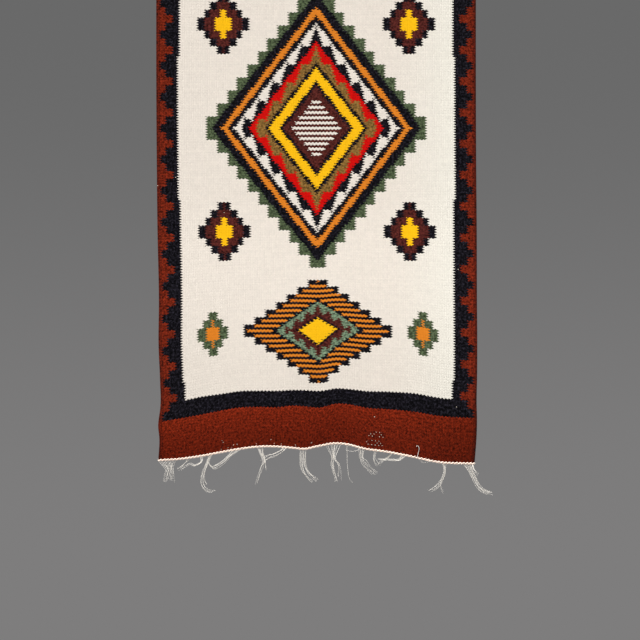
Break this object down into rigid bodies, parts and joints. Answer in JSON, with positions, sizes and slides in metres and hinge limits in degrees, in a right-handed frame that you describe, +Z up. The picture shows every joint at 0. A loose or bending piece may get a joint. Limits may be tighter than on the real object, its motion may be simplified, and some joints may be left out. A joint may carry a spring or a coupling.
{
  "type": "woven wall hanging",
  "caption": "Long wool tapestry panel that hangs flat against a wall by its top edge, with a cord along each end and a loose fringe of warp ends along the bottom.",
  "frame": {"origin": "middle of the top edge, on the highest line of the top cord, which the hanging hangs by", "axes": "+X to the right of someone who faces the front; +Y from the front to the wall behind; +Z up, so the cloth hangs along -Z"},
  "size_m": [0.6684, 0.0238, 1.387],
  "materials": {
    "tapestry_wool": "matt wool tapestry weave, cream field with rust and black borders",
    "top_cord_yarn": "matt twisted cream cord",
    "warp_yarn": "matt twisted cream warp yarn"
  },
  "bodies": {
    "root": {"woven_panel": "tapestry_wool", "top_cord": "top_cord_yarn", "fringed_cord": "warp_yarn"}
  },
  "joints": []
}
